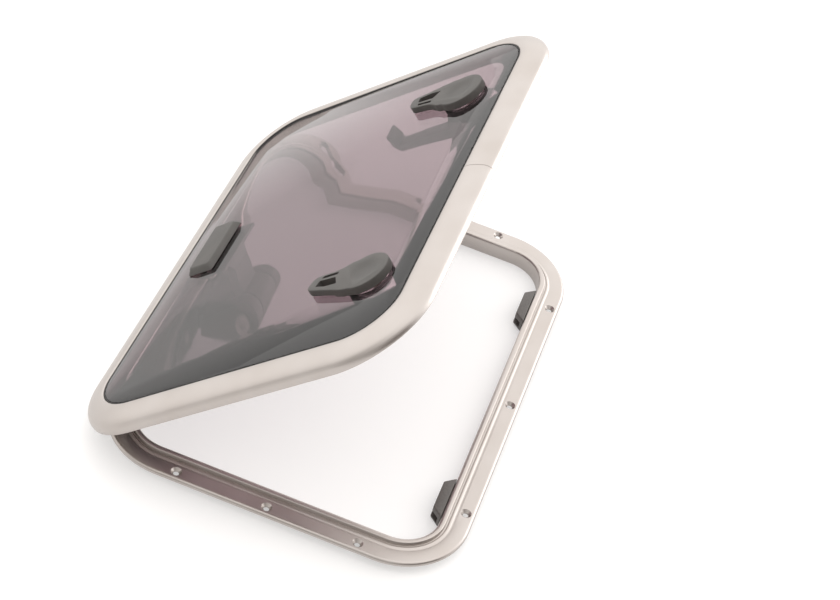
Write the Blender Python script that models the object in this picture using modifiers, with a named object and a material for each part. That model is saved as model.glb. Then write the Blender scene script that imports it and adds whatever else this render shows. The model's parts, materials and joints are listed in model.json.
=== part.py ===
"""Low-profile deck hatch: an alloy base frame, a glazed lid on a two-pivot friction hinge, two latches.

Metres, +Z up. The hinge runs along Y on the -X side and the latches are on the +X side.
The hatch is modelled about the centre of its clear opening, at the top of the deck flange, and the
whole model is then set down so that the world origin is under the middle of the object's box.
The lid is modelled lying flat about the middle of its glazing's top face, and hung from the hinge.
"""
import math

import bmesh
import bpy
from mathutils import Matrix, Vector

# ---- driving dimensions -------------------------------------------------------------------------
CLEAR_HALF_X = 0.1432           # clear opening, half sizes and corner radius
CLEAR_HALF_Y = 0.2063
CLEAR_RADIUS = 0.036
FLANGE_WIDTH = 0.0276           # from the inner wall to the outer edge of the deck flange
FLANGE_THICK = 0.0038
FLANGE_RADIUS = 0.0688
SPIGOT_DEPTH = 0.0132           # from the flange's top to the bottom of the inner wall
SPIGOT_WALL = 0.0026
SEALANT_GROOVE_WIDTH = 0.0020   # under the flange, beside the inner wall
SEALANT_GROOVE_DEPTH = 0.0008
UPSTAND_HEIGHT = 0.0036         # the lip that the lid's gasket closes on

SCREW_LINE = 0.0188             # deck screw holes, distance outside the inner wall
SCREW_PITCH_X = 0.0850
SCREW_PITCH_Y = 0.1476
SCREW_HOLE_RADIUS = 0.0027
SCREW_SINK_RADIUS = 0.0050

KEEPER_LONG = 0.0255            # half lengths of a keeper at the wall and at its face
KEEPER_SHORT = 0.0165
KEEPER_DEEP = 0.0100
KEEPER_LOW = -0.0126
KEEPER_TOP = 0.0022
KEEPER_SLOT_LOW = -0.0100
KEEPER_SLOT_TOP = -0.0036
WALL_WEB = 0.0030               # metal that the keeper's slot leaves behind it
WALL_SCREW_PLACES = (-0.0120, 0.0120)

GLASS_HALF_X = 0.1583
GLASS_HALF_Y = 0.2219
GLASS_RADIUS = 0.0456
GLASS_THICK = 0.0100
LID_LEDGE_X = 0.0168            # how far the lid frame reaches in under the glazing
LID_LEDGE_Y = 0.0255
LEDGE_THICK = 0.0026
GASKET_HEIGHT = 0.0033

LID_OPEN = math.radians(44.5)   # the lid's angle as modelled
LID_CENTRE = Vector((-0.0592, 0.0, 0.1382))     # middle of the glazing's top face, lid open
ARM_PIVOT = Vector((-0.1350, 0.0, 0.0001))      # base end of the hinge arm
LID_PIVOT = Vector((-0.0880, 0.0, 0.0260))      # lid end of the hinge arm, lid open

LATCH_X = 0.1120                # latch axes on the lid
LATCH_Y = 0.1387
DISC_RADIUS = 0.0230
DISC_HEIGHT = 0.0074
FAR_LATCH_SPLAY = math.radians(9.0)             # the far lever stands turned out by this much

GAP = 0.0003                    # between pieces that touch
CUT_PAST = 0.0050               # how far a cutter runs on past what it cuts
CORNER_STEPS = 8                # steps round a quarter turn of a frame's corner
ROUND_STEPS = 24                # steps round a small turned piece

HINGE_REACH = (LID_PIVOT - ARM_PIVOT).length
HINGE_ANGLE = math.atan2(LID_PIVOT.z - ARM_PIVOT.z, LID_PIVOT.x - ARM_PIVOT.x)
BARREL_RADIUS = 0.0140
ARM_KNUCKLE_RADIUS = 0.0063
BOX_LOW_X = LID_CENTRE.x - (GLASS_HALF_X + 0.0254) * math.cos(LID_OPEN) + 0.0085 * math.sin(LID_OPEN)
BOX_HIGH_X = CLEAR_HALF_X + FLANGE_WIDTH
WORLD_SHIFT = Vector((-(BOX_LOW_X + BOX_HIGH_X) / 2.0, 0.0, SPIGOT_DEPTH))

# ---- finishes: base colour, roughness, metallic -------------------------------------------------
FINISHES = {
    "anodised_alloy": ((0.72, 0.68, 0.66), 0.32, 1.0),
    "tinted_acrylic": ((0.24, 0.20, 0.21), 0.05, 0.0),
    "black_rubber": ((0.02, 0.018, 0.018), 0.60, 0.0),
    "grey_plastic": ((0.22, 0.21, 0.20), 0.50, 0.0),
    "black_plastic": ((0.015, 0.014, 0.014), 0.40, 0.0),
    "grey_enamel": ((0.20, 0.19, 0.19), 0.45, 0.0),
    "stainless": ((0.62, 0.61, 0.60), 0.28, 1.0),
    "white_acetal": ((0.75, 0.74, 0.72), 0.40, 0.0),
}


# ---- scene helpers ------------------------------------------------------------------------------
def clear_scene():
    for item in list(bpy.data.objects):
        bpy.data.objects.remove(item, do_unlink=True)


def new_collection(name):
    found = bpy.data.collections.get(name) or bpy.data.collections.new(name)
    if found.name not in bpy.context.scene.collection.children:
        bpy.context.scene.collection.children.link(found)
    return found


def make_finish(name):
    colour, roughness, metallic = FINISHES[name]
    material = bpy.data.materials.new(name)
    material.use_nodes = True
    shader = material.node_tree.nodes["Principled BSDF"]
    shader.inputs["Base Color"].default_value = (*colour, 1.0)
    shader.inputs["Roughness"].default_value = roughness
    shader.inputs["Metallic"].default_value = metallic
    return material


def new_empty(name, parent, location, turn=(0.0, 0.0, 0.0)):
    empty = bpy.data.objects.new(name, None)
    parts.objects.link(empty)
    empty.parent = parent
    empty.location = location
    empty.rotation_euler = turn
    return empty


def mesh_object(name, shape, collection):
    """Turn a finished bmesh into an object with smooth round faces and crisp edges."""
    bmesh.ops.recalc_face_normals(shape, faces=shape.faces)
    mesh = bpy.data.meshes.new(name)
    shape.to_mesh(mesh)
    shape.free()
    mesh.shade_smooth()
    mesh.set_sharp_from_angle(angle=math.radians(32.0))
    made = bpy.data.objects.new(name, mesh)
    collection.objects.link(made)
    return made


def finish_part(made, finish, parent, location=(0.0, 0.0, 0.0)):
    made.data.materials.clear()
    made.data.materials.append(finishes[finish])
    made.parent = parent
    made.location = location
    return made


def add_boolean(target, tool, operation):
    modifier = target.modifiers.new(tool.name, "BOOLEAN")
    modifier.operation = operation
    modifier.solver = "EXACT"
    modifier.object = tool


def cut(target, *tools):
    for tool in tools:
        add_boolean(target, tool, "DIFFERENCE")


def join(target, *tools):
    for tool in tools:
        add_boolean(target, tool, "UNION")


def as_tool(tool, parent, location=(0.0, 0.0, 0.0)):
    tool.hide_render = True
    tool.display_type = "WIRE"
    tool.parent = parent
    tool.location = location
    return tool


# ---- shape helpers ------------------------------------------------------------------------------
def rounded_outline(half_x, half_y, radius, steps=CORNER_STEPS):
    """Points of a rounded rectangle, anticlockwise, one arc for each corner."""
    points = []
    for corner in range(4):
        side_x = 1.0 if corner in (0, 3) else -1.0
        side_y = 1.0 if corner in (0, 1) else -1.0
        for step in range(steps + 1):
            angle = math.pi / 2.0 * (corner + step / steps)
            x = side_x * (half_x - radius) + radius * math.cos(angle)
            y = side_y * (half_y - radius) + radius * math.sin(angle)
            points.append((x, y))
    return points


def ring_shape(sections):
    """Sweep a closed profile round a rounded rectangle. A section is (half_x, half_y, radius, z)."""
    shape = bmesh.new()
    rings = []
    for half_x, half_y, radius, z in sections:
        rings.append([shape.verts.new((x, y, z)) for x, y in rounded_outline(half_x, half_y, radius)])
    for index, ring in enumerate(rings):
        following = rings[(index + 1) % len(rings)]
        for here in range(len(ring)):
            ahead = (here + 1) % len(ring)
            shape.faces.new((ring[here], ring[ahead], following[ahead], following[here]))
    return shape


def plate(name, outline, low, high, collection):
    """A flat outline as a filled 2D curve, thickened by its extrude and made a mesh."""
    curve = bpy.data.curves.new(name, "CURVE")
    curve.dimensions = "2D"
    curve.fill_mode = "BOTH"
    curve.extrude = (high - low) / 2.0
    spline = curve.splines.new("POLY")
    spline.points.add(len(outline) - 1)
    for point, (x, y) in zip(spline.points, outline):
        point.co = (x, y, 0.0, 1.0)
    spline.use_cyclic_u = True
    drawn = bpy.data.objects.new(name, curve)
    collection.objects.link(drawn)
    graph = bpy.context.evaluated_depsgraph_get()
    mesh = bpy.data.meshes.new_from_object(drawn.evaluated_get(graph))
    bpy.data.objects.remove(drawn, do_unlink=True)
    bpy.data.curves.remove(curve)
    shape = bmesh.new()
    shape.from_mesh(mesh)
    bpy.data.meshes.remove(mesh)
    bmesh.ops.remove_doubles(shape, verts=shape.verts, dist=0.00001)
    bmesh.ops.translate(shape, verts=shape.verts, vec=(0.0, 0.0, (low + high) / 2.0))
    return mesh_object(name, shape, collection)


def side_plate(name, outline, low, high, collection):
    """A plate drawn in the X-Z plane that runs from low to high along Y."""
    made = plate(name, outline, -high, -low, collection)
    made.data.transform(Matrix.Rotation(math.radians(90.0), 4, "X"))
    return made


def cylinder(name, radius, low, high, collection, axis="Z", centre=(0.0, 0.0), top_radius=None,
             steps=ROUND_STEPS):
    """A capped cylinder or cone from low to high along an axis; centre is its place across the axis."""
    shape = bmesh.new()
    upper = radius if top_radius is None else top_radius
    bmesh.ops.create_cone(shape, cap_ends=True, segments=steps, radius1=radius, radius2=upper, depth=high - low)
    bmesh.ops.translate(shape, verts=shape.verts, vec=(0.0, 0.0, (low + high) / 2.0))
    if axis == "Y":
        bmesh.ops.rotate(shape, verts=shape.verts, matrix=Matrix.Rotation(math.radians(-90.0), 3, "X"))
        bmesh.ops.translate(shape, verts=shape.verts, vec=(centre[0], 0.0, centre[1]))
    elif axis == "X":
        bmesh.ops.rotate(shape, verts=shape.verts, matrix=Matrix.Rotation(math.radians(90.0), 3, "Y"))
        bmesh.ops.translate(shape, verts=shape.verts, vec=(0.0, centre[0], centre[1]))
    else:
        bmesh.ops.translate(shape, verts=shape.verts, vec=(centre[0], centre[1], 0.0))
    return mesh_object(name, shape, collection)


def box(name, low, high, collection):
    shape = bmesh.new()
    bmesh.ops.create_cube(shape, size=1.0)
    size = Vector(high) - Vector(low)
    bmesh.ops.scale(shape, verts=shape.verts, vec=size)
    bmesh.ops.translate(shape, verts=shape.verts, vec=(Vector(low) + Vector(high)) / 2.0)
    return mesh_object(name, shape, collection)


def soften(made, width, segments=2):
    modifier = made.modifiers.new("soft_edges", "BEVEL")
    modifier.width = width
    modifier.segments = segments
    modifier.limit_method = "ANGLE"
    modifier.angle_limit = math.radians(40.0)
    return made


def arc_points(centre, radius, start, end, steps):
    """Points on an arc, angles in degrees."""
    points = []
    for step in range(steps + 1):
        angle = math.radians(start + (end - start) * step / steps)
        points.append((centre[0] + radius * math.cos(angle), centre[1] + radius * math.sin(angle)))
    return points


def mirrored(points, side):
    """Flip an outline's second coordinate for the far latch."""
    return [(x, y * side) for x, y in points]


# ---- base frame ---------------------------------------------------------------------------------
def base_section(out, z):
    """Ring size at a distance outside the clear opening's wall."""
    radius = CLEAR_RADIUS + out * (FLANGE_RADIUS - CLEAR_RADIUS) / FLANGE_WIDTH
    return (CLEAR_HALF_X + out, CLEAR_HALF_Y + out, radius, z)


def make_base_frame():
    profile = [
        (0.0000, -SPIGOT_DEPTH),
        (0.0000, 0.0010),
        (0.0008, 0.0026),
        (0.0026, UPSTAND_HEIGHT),
        (0.0050, UPSTAND_HEIGHT),
        (0.0059, 0.0028),
        (0.0063, -0.0008),
        (0.0076, -0.0008),
        (0.0081, 0.0009),
        (0.0094, 0.0009),
        (0.0112, -0.0003),
        (0.0134, 0.0000),
        (0.0248, 0.0000),
        (0.0264, -0.0006),
        (0.0273, -0.0018),
        (FLANGE_WIDTH, -FLANGE_THICK),
        (SPIGOT_WALL + SEALANT_GROOVE_WIDTH, -FLANGE_THICK),
        (SPIGOT_WALL + SEALANT_GROOVE_WIDTH, SEALANT_GROOVE_DEPTH - FLANGE_THICK),
        (SPIGOT_WALL, SEALANT_GROOVE_DEPTH - FLANGE_THICK),
        (SPIGOT_WALL, -SPIGOT_DEPTH),
    ]
    shape = ring_shape([base_section(out, z) for out, z in profile])
    frame = finish_part(mesh_object("base_frame", shape, parts), "anodised_alloy", hatch)
    for number, (x, y) in enumerate(deck_screw_places(), start=1):
        hole = cylinder(f"deck_screw_hole_{number}", SCREW_HOLE_RADIUS, -FLANGE_THICK - CUT_PAST, CUT_PAST,
                        cutters, centre=(x, y), steps=16)
        sink_depth = SCREW_SINK_RADIUS - SCREW_HOLE_RADIUS
        sink = cylinder(f"deck_screw_sink_{number}", SCREW_HOLE_RADIUS * 0.9, -sink_depth * 1.1, 0.0005, cutters,
                        centre=(x, y), top_radius=SCREW_SINK_RADIUS + 0.0005, steps=16)
        cut(frame, as_tool(hole, hatch), as_tool(sink, hatch))
    return frame


def deck_screw_places():
    """Three holes along each side of the flange."""
    line_x = CLEAR_HALF_X + SCREW_LINE
    line_y = CLEAR_HALF_Y + SCREW_LINE
    places = []
    for side in (-1, 1):
        places += [(step * SCREW_PITCH_X, side * line_y) for step in (-1, 0, 1)]
        places += [(side * line_x, step * SCREW_PITCH_Y) for step in (-1, 0, 1)]
    return places


def make_keeper(name, side, frame):
    """Latch keeper on the +X inner wall: a lip over a slot that the latch blade turns into."""
    wall = CLEAR_HALF_X - GAP
    middle = side * (LATCH_Y + 0.0005)
    body = plate(name, [
        (wall, middle + side * KEEPER_LONG),
        (wall - KEEPER_DEEP, middle + side * KEEPER_SHORT),
        (wall - KEEPER_DEEP, middle - side * KEEPER_SHORT),
        (wall, middle - side * KEEPER_LONG),
    ], KEEPER_LOW, KEEPER_TOP, parts)
    finish_part(soften(body, 0.0008, 1), "grey_enamel", hatch)
    slot = box(
        name + "_slot",
        (wall - KEEPER_DEEP - CUT_PAST, middle - KEEPER_LONG - CUT_PAST, KEEPER_SLOT_LOW),
        (wall - WALL_WEB, middle + KEEPER_LONG + CUT_PAST, KEEPER_SLOT_TOP),
        cutters)
    cut(body, as_tool(slot, hatch))
    slot_middle = (KEEPER_SLOT_LOW + KEEPER_SLOT_TOP) / 2.0
    for number, offset in enumerate(WALL_SCREW_PLACES, start=1):
        place = (middle + offset, slot_middle)
        make_wall_screw(f"{name}_screw_{number}", place, wall - WALL_WEB, 1, body, frame)


def make_wall_screw(name, place, face, direction, held, frame):
    """A pan-head screw along X that holds a piece on the frame's inner wall."""
    wall = direction * CLEAR_HALF_X
    inner = face - direction * GAP
    low, high = sorted((inner - direction * 0.0014, inner))
    screw = cylinder(name, 0.0031, low, high, parts, axis="X", centre=place, steps=16)
    shank_low, shank_high = sorted((inner - direction * 0.0003, wall + direction * 0.0044))
    shank = cylinder(name + "_shank", 0.0016, shank_low, shank_high, cutters, axis="X", centre=place, steps=12)
    join(screw, as_tool(shank, hatch))
    finish_part(screw, "stainless", hatch)
    bore_low, bore_high = sorted((inner - direction * 0.0010, wall + direction * 0.0060))
    bore = cylinder(name + "_bore", 0.0019, bore_low, bore_high, cutters, axis="X", centre=place, steps=12)
    as_tool(bore, hatch)
    cut(held, bore)
    cut(frame, bore)


# ---- hinge --------------------------------------------------------------------------------------
BRACKET_HALF = 0.0375           # half length of the base bracket's back plate
BRACKET_THICK = 0.0034
BRACKET_SCREW_Z = -0.0090
PIN_RADIUS = 0.0025
PIN_BORE_RADIUS = 0.0028
FRICTION_BOLT_RADIUS = 0.0040
FRICTION_BORE_RADIUS = 0.0043
BORE_REACH = 0.0400             # half length of a cutter that goes through the whole hinge
WASHER_THICK = 0.0008
ARM_EYE_HALF = 0.0200           # half length of the arm's eye on the base pin
BASE_LUG_OUT = 0.0340           # outer face of the base bracket's lugs
FORK_IN = 0.0156                # the arm's fork at the barrel, inner and outer faces
FORK_OUT = 0.0265


def make_base_bracket(frame):
    """Back plate on the -X inner wall with two lugs for the base pin."""
    wall = -(CLEAR_HALF_X - GAP)
    bracket = box("hinge_base_bracket", (wall, -BRACKET_HALF, -0.0128), (wall + BRACKET_THICK, BRACKET_HALF, 0.0006),
                  parts)
    for side in (-1, 1):
        low, high = sorted((side * (ARM_EYE_HALF + 0.0006), side * BASE_LUG_OUT))
        lug = side_plate(f"base_lug_{side}", [
            (wall + 0.0010, -0.0110),
            (ARM_PIVOT.x - 0.0010, -0.0110),
            *arc_points((ARM_PIVOT.x, ARM_PIVOT.z), ARM_KNUCKLE_RADIUS, -50.0, 90.0, 7),
            (wall + 0.0040, ARM_PIVOT.z + ARM_KNUCKLE_RADIUS - 0.0008),
            (wall + 0.0010, 0.0004),
        ], low, high, cutters)
        join(bracket, as_tool(lug, hatch))
    bore = cylinder("base_pin_bore", PIN_BORE_RADIUS, -BORE_REACH, BORE_REACH, cutters, axis="Y",
                    centre=(ARM_PIVOT.x, ARM_PIVOT.z), steps=16)
    clear = 0.0005
    pocket = cylinder("arm_eye_pocket", ARM_KNUCKLE_RADIUS + clear, -ARM_EYE_HALF - clear, ARM_EYE_HALF + clear,
                      cutters, axis="Y", centre=(ARM_PIVOT.x, ARM_PIVOT.z))
    cut(bracket, as_tool(bore, hatch), as_tool(pocket, hatch))
    finish_part(bracket, "grey_enamel", hatch)
    for number, y in enumerate(WALL_SCREW_PLACES, start=1):
        place = (y, BRACKET_SCREW_Z)
        make_wall_screw(f"hinge_base_screw_{number}", place, wall + BRACKET_THICK, -1, bracket, frame)


def make_arm():
    """The arm lies along its own X, from the base pin to the barrel, and swings about the base pin."""
    length = HINGE_REACH
    arm = cylinder("hinge_arm", ARM_KNUCKLE_RADIUS, -ARM_EYE_HALF, ARM_EYE_HALF, parts, axis="Y")
    web = side_plate("arm_web", [
        (0.0020, -0.0038),
        (length - 0.0270, -0.0046),
        (length - 0.0270, 0.0046),
        (0.0020, 0.0038),
    ], -0.0196, 0.0196, cutters)
    join(arm, as_tool(web, arm_axis))
    for side in (-1, 1):
        low, high = sorted((side * FORK_IN, side * FORK_OUT))
        cheek = side_plate(f"arm_cheek_{side}", [
            (0.0105, -0.0040),
            *arc_points((length, 0.0), BARREL_RADIUS, -112.0, 112.0, 14),
            (0.0105, 0.0040),
        ], low, high, cutters)
        join(arm, as_tool(cheek, arm_axis))
    for name, radius, place in (("arm_eye_bore", PIN_BORE_RADIUS, 0.0),
                                ("arm_barrel_bore", FRICTION_BORE_RADIUS, length)):
        bore = cylinder(name, radius, -BORE_REACH, BORE_REACH, cutters, axis="Y", centre=(place, 0.0), steps=16)
        cut(arm, as_tool(bore, arm_axis))
    finish_part(arm, "grey_enamel", arm_axis)

    pin = cylinder("hinge_base_pin", PIN_RADIUS, -BASE_LUG_OUT, BASE_LUG_OUT, parts, axis="Y",
                   centre=(ARM_PIVOT.x, ARM_PIVOT.z), steps=16)
    finish_part(pin, "stainless", hatch)
    bolt = cylinder("friction_bolt", FRICTION_BOLT_RADIUS, -FORK_OUT - 0.0006, FORK_OUT + 0.0048, parts,
                    axis="Y", centre=(length, 0.0), steps=16)
    head = cylinder("friction_bolt_head", 0.0068, -FORK_OUT - 0.0034, -FORK_OUT - GAP, cutters, axis="Y",
                    centre=(length, 0.0))
    socket = cylinder("friction_bolt_socket", 0.0030, -FORK_OUT - 0.0060, -FORK_OUT - 0.0016, cutters, axis="Y",
                      centre=(length, 0.0), steps=6)
    join(bolt, as_tool(head, arm_axis))
    cut(bolt, as_tool(socket, arm_axis))
    finish_part(bolt, "stainless", arm_axis)
    nut = cylinder("friction_nut", 0.0072, FORK_OUT + GAP, FORK_OUT + 0.0042, parts, axis="Y",
                   centre=(length, 0.0), steps=6)
    thread = cylinder("friction_nut_thread", FRICTION_BORE_RADIUS, 0.0, BORE_REACH, cutters, axis="Y",
                      centre=(length, 0.0), steps=16)
    cut(nut, as_tool(thread, arm_axis))
    finish_part(nut, "stainless", arm_axis)
    for word, side in (("near", -1), ("far", 1)):
        low, high = sorted((side * (FORK_IN - GAP), side * (FORK_IN - GAP - WASHER_THICK)))
        washer = cylinder(f"friction_washer_{word}", 0.0120, low, high, parts, axis="Y", centre=(length, 0.0))
        hole = cylinder(f"friction_washer_hole_{word}", FRICTION_BORE_RADIUS, -BORE_REACH, BORE_REACH, cutters,
                        axis="Y", centre=(length, 0.0), steps=16)
        cut(washer, as_tool(hole, arm_axis))
        finish_part(washer, "white_acetal", arm_axis)


def tapered_bar(name, start, end, start_half, end_half, half_thick):
    """A bar between two points in X-Z whose half length along Y changes from one end to the other."""
    bar = bmesh.new()
    bmesh.ops.create_cube(bar, size=1.0)
    along = (end - start).normalized()
    for corner in bar.verts:
        at_end = corner.co.z > 0.0
        place = (end if at_end else start) + Vector((along.y, -along.x)) * math.copysign(half_thick, corner.co.x)
        half = end_half if at_end else start_half
        corner.co = (place.x, math.copysign(half, corner.co.y), place.y)
    return mesh_object(name, bar, cutters)


def make_lid_bracket():
    """Foot under the glazing, and a tapering web down to the barrel's middle knuckle."""
    top = -GLASS_THICK - GAP
    foot = box("hinge_lid_bracket", (-0.1262, -0.0360, top - 0.0030), (-0.0960, 0.0360, top), parts)
    knuckle_half = FORK_IN - 2.0 * GAP - WASHER_THICK
    pivot = Vector((PIVOT_ON_LID.x, PIVOT_ON_LID.z))
    root = Vector((-0.1120, top - 0.0015))
    along = (root - pivot).normalized()
    web_half = knuckle_half - 0.0004
    web = tapered_bar("lid_bracket_web", pivot, pivot + along * 0.0360, web_half, web_half, 0.0050)
    foot_web = tapered_bar("lid_bracket_flare", pivot + along * 0.0335, root, web_half - 0.0004, 0.0230, 0.0054)
    knuckle = cylinder("lid_bracket_knuckle", BARREL_RADIUS, -knuckle_half, knuckle_half, cutters, axis="Y",
                       centre=(PIVOT_ON_LID.x, PIVOT_ON_LID.z))
    bore = cylinder("lid_bracket_bore", FRICTION_BORE_RADIUS, -BORE_REACH, BORE_REACH, cutters, axis="Y",
                    centre=(PIVOT_ON_LID.x, PIVOT_ON_LID.z), steps=16)
    for tool in (foot_web, web, knuckle):
        join(foot, as_tool(tool, lid_axis, LID_DATUM))
    cut(foot, as_tool(bore, lid_axis, LID_DATUM))
    finish_part(foot, "grey_enamel", lid_axis, LID_DATUM)
    return foot


CAP_X = -0.1230
CAP_HEIGHT = 0.0062
CAP_HALF = (0.0150, 0.0385)             # the cap's half sizes on the glazing and at its top
CAP_TOP_HALF = (0.0118, 0.0335)
LID_BOLT_X = -0.1180
LID_BOLT_PLACES = (-0.0300, 0.0300)
LID_BOLT_RADIUS = 0.0028
LID_BOLT_TOP = 0.0026


def make_hinge_cap(glass, bracket):
    """Outside cap over the two hinge bolts, with its ends and edges sloped down to the glazing."""
    cap = bmesh.new()
    bmesh.ops.create_cube(cap, size=1.0)
    for corner in cap.verts:
        upper = corner.co.z > 0.0
        half_x, half_y = CAP_TOP_HALF if upper else CAP_HALF
        corner.co = (
            math.copysign(half_x, corner.co.x) + CAP_X,
            math.copysign(half_y, corner.co.y),
            CAP_HEIGHT if upper else GAP,
        )
    cap = finish_part(mesh_object("hinge_cap", cap, parts), "grey_plastic", lid_axis, LID_DATUM)
    soften(cap, 0.0012, 2)
    for number, y in enumerate(LID_BOLT_PLACES, start=1):
        place = (LID_BOLT_X, y)
        bolt = cylinder(f"hinge_lid_bolt_{number}", LID_BOLT_RADIUS, -0.0165, LID_BOLT_TOP, parts, centre=place,
                        steps=16)
        nut = cylinder(f"hinge_lid_nut_{number}", 0.0056, -0.0172, -0.0136, cutters, centre=place, steps=6)
        join(bolt, as_tool(nut, lid_axis, LID_DATUM))
        finish_part(bolt, "stainless", lid_axis, LID_DATUM)
        hole = cylinder(f"hinge_bolt_hole_{number}", LID_BOLT_RADIUS + GAP, -0.0200, LID_BOLT_TOP + 2.0 * GAP,
                        cutters, centre=place, steps=16)
        as_tool(hole, lid_axis, LID_DATUM)
        cut(glass, hole)
        cut(bracket, hole)
        cut(cap, hole)


# ---- lid ----------------------------------------------------------------------------------------
def lid_section(out, z, extra_y=0.0):
    """Ring size at a distance outside the glazing's edge."""
    radius = max(GLASS_RADIUS + out * 1.13, 0.020)
    return (GLASS_HALF_X + out, GLASS_HALF_Y + out * 1.03 + extra_y, radius, z)


def make_lid_frame():
    under = -GLASS_THICK
    ledge_extra = LID_LEDGE_X * 1.03 - LID_LEDGE_Y
    profile = [
        (0.0020, 0.0000, 0.0),
        (0.0036, 0.0005, 0.0),
        (0.0080, 0.0002, 0.0),
        (0.0135, -0.0012, 0.0),
        (0.0190, -0.0034, 0.0),
        (0.0236, -0.0062, 0.0),
        (0.0254, -0.0085, 0.0),
        (0.0257, -0.0146, 0.0),
        (0.0234, -0.0146, 0.0),
        (0.0228, -0.0100, 0.0),
        (0.0180, -0.0064, 0.0),
        (0.0110, -0.0040, 0.0),
        (0.0050, -0.0036, 0.0),
        (0.0044, under - LEDGE_THICK, 0.0),
        (-LID_LEDGE_X, under - LEDGE_THICK, ledge_extra),
        (-LID_LEDGE_X, under - GAP, ledge_extra),
        (0.0020, under - GAP, 0.0),
    ]
    shape = ring_shape([lid_section(out, z, extra) for out, z, extra in profile])
    finish_part(mesh_object("lid_frame", shape, parts), "anodised_alloy", lid_axis, LID_DATUM)


def make_lid_seals():
    under = -GLASS_THICK
    shape = ring_shape([lid_section(out, z) for out, z in
                        ((0.0003, -0.0003), (0.0017, -0.0003), (0.0017, under), (0.0003, under))])
    finish_part(mesh_object("glazing_seal", shape, parts), "black_rubber", lid_axis, LID_DATUM)
    top = under - LEDGE_THICK - GAP
    low = top - GASKET_HEIGHT
    shape = ring_shape([base_section(out, z) for out, z in
                        ((0.0010, top), (0.0062, top), (0.0056, low), (0.0018, low))])
    finish_part(mesh_object("lid_gasket", shape, parts), "black_rubber", lid_axis, LID_DATUM)


def make_glazing():
    glass = plate("glazing_panel", rounded_outline(GLASS_HALF_X, GLASS_HALF_Y, GLASS_RADIUS), -GLASS_THICK, 0.0,
                  parts)
    return finish_part(glass, "tinted_acrylic", lid_axis, LID_DATUM)


# ---- latches ------------------------------------------------------------------------------------
BUSH_RADIUS = 0.0190
ESCUTCHEON_RADIUS = 0.0220
ESCUTCHEON_THICK = 0.0060
SPINDLE_RADIUS = 0.0080
BOSS_RADIUS = 0.0165
BOSS_TOP = -0.0166              # the inside lever's boss, below the glazing's top face
BOSS_LOW = -0.0245
HANDLE_HALF = 0.0085
BLADE_TOP = -0.0248
BLADE_LOW = -0.0284
BLADE_REACH = 0.0264
TURNED_PAST = 0.0300            # how far a latch's cutters run to either side


def make_latch(word, side, glass):
    """One latch: the outside lever, spindle, inside lever and blade turn together about its axis."""
    place = Vector((LATCH_X, side * LATCH_Y, 0.0))
    splay = -FAR_LATCH_SPLAY if side > 0 else 0.0
    axis = new_empty(f"latch_axis_{word}", lid_axis, Vector(LID_DATUM) + place, (0.0, 0.0, splay))

    hole = cylinder(f"latch_hole_{word}", BUSH_RADIUS + GAP, -0.020, 0.010, cutters, centre=place.xy)
    cut(glass, as_tool(hole, lid_axis, LID_DATUM))
    bush = cylinder(f"latch_bush_{word}", BUSH_RADIUS, -GLASS_THICK, -0.0002, parts, centre=place.xy)
    escutcheon = cylinder(f"latch_escutcheon_{word}", ESCUTCHEON_RADIUS, -GLASS_THICK - ESCUTCHEON_THICK,
                          -GLASS_THICK - GAP, parts, centre=place.xy, steps=32)
    bore = cylinder(f"latch_bush_bore_{word}", SPINDLE_RADIUS + GAP, -TURNED_PAST, CUT_PAST, cutters,
                    centre=place.xy)
    as_tool(bore, lid_axis, LID_DATUM)
    cut(bush, bore)
    cut(escutcheon, bore)
    finish_part(bush, "black_rubber", lid_axis, LID_DATUM)
    finish_part(escutcheon, "black_plastic", lid_axis, LID_DATUM)

    make_outer_lever(word, side, axis)
    make_inner_lever(word, side, axis)
    spindle = cylinder(f"latch_spindle_{word}", SPINDLE_RADIUS, -0.0240, 0.0054, parts)
    thread = cylinder(f"latch_spindle_thread_{word}", 0.0040, -0.0300, -0.0110, cutters, steps=16)
    cut(spindle, as_tool(thread, axis))
    finish_part(spindle, "stainless", axis)
    make_blade(word, side, axis)


TONGUE_THICK = 0.0062
DISH_RADIUS = 0.0105
DISH_DEPTH = 0.0010
DISH_SLOPE = 0.0060


def make_outer_lever(word, side, axis):
    top = DISC_HEIGHT + GAP
    lever = plate(f"outer_lever_{word}", mirrored([
        *arc_points((0.0, 0.0), DISC_RADIUS, -113.0, 122.0, 30),
        (-0.0190, 0.0188),
        (-0.0260, 0.0150),
        (-0.0350, 0.0129),
        (-0.0460, 0.0126),
        (-0.0525, 0.0118),
        (-0.0565, 0.0080),
        (-0.0588, 0.0010),
        (-0.0575, -0.0045),
        (-0.0500, -0.0078),
        (-0.0418, -0.0106),
        (-0.0300, -0.0150),
        (-0.0180, -0.0196),
    ], -side), GAP, top, parts)
    soften(lever, 0.0007, 2)
    relief = box(
        f"outer_lever_relief_{word}",
        (-0.0620, -0.0300, -CUT_PAST),
        (-0.0275, 0.0300, top - TONGUE_THICK),
        cutters)
    cut(lever, as_tool(relief, axis))
    windows = {
        "window": (
            (-0.0500, -0.0030), (-0.0485, 0.0045), (-0.0310, 0.0032), (-0.0265, -0.0072), (-0.0385, -0.0068)),
        "slot": ((-0.0470, 0.0068), (-0.0460, 0.0102), (-0.0300, 0.0102), (-0.0305, 0.0068)),
    }
    for label, outline in windows.items():
        tool = plate(f"outer_lever_{label}_{word}", mirrored(outline, -side), -CUT_PAST, top + CUT_PAST, cutters)
        cut(lever, as_tool(tool, axis))
    dish = cylinder(f"outer_lever_dish_{word}", DISH_RADIUS, top - DISH_DEPTH, top + DISH_DEPTH, cutters,
                    top_radius=DISH_RADIUS + DISH_SLOPE, steps=40)
    bore = cylinder(f"outer_lever_bore_{word}", SPINDLE_RADIUS + GAP, -0.010, 0.0057, cutters)
    cut(lever, as_tool(dish, axis), as_tool(bore, axis))
    finish_part(lever, "grey_plastic", axis)


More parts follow.
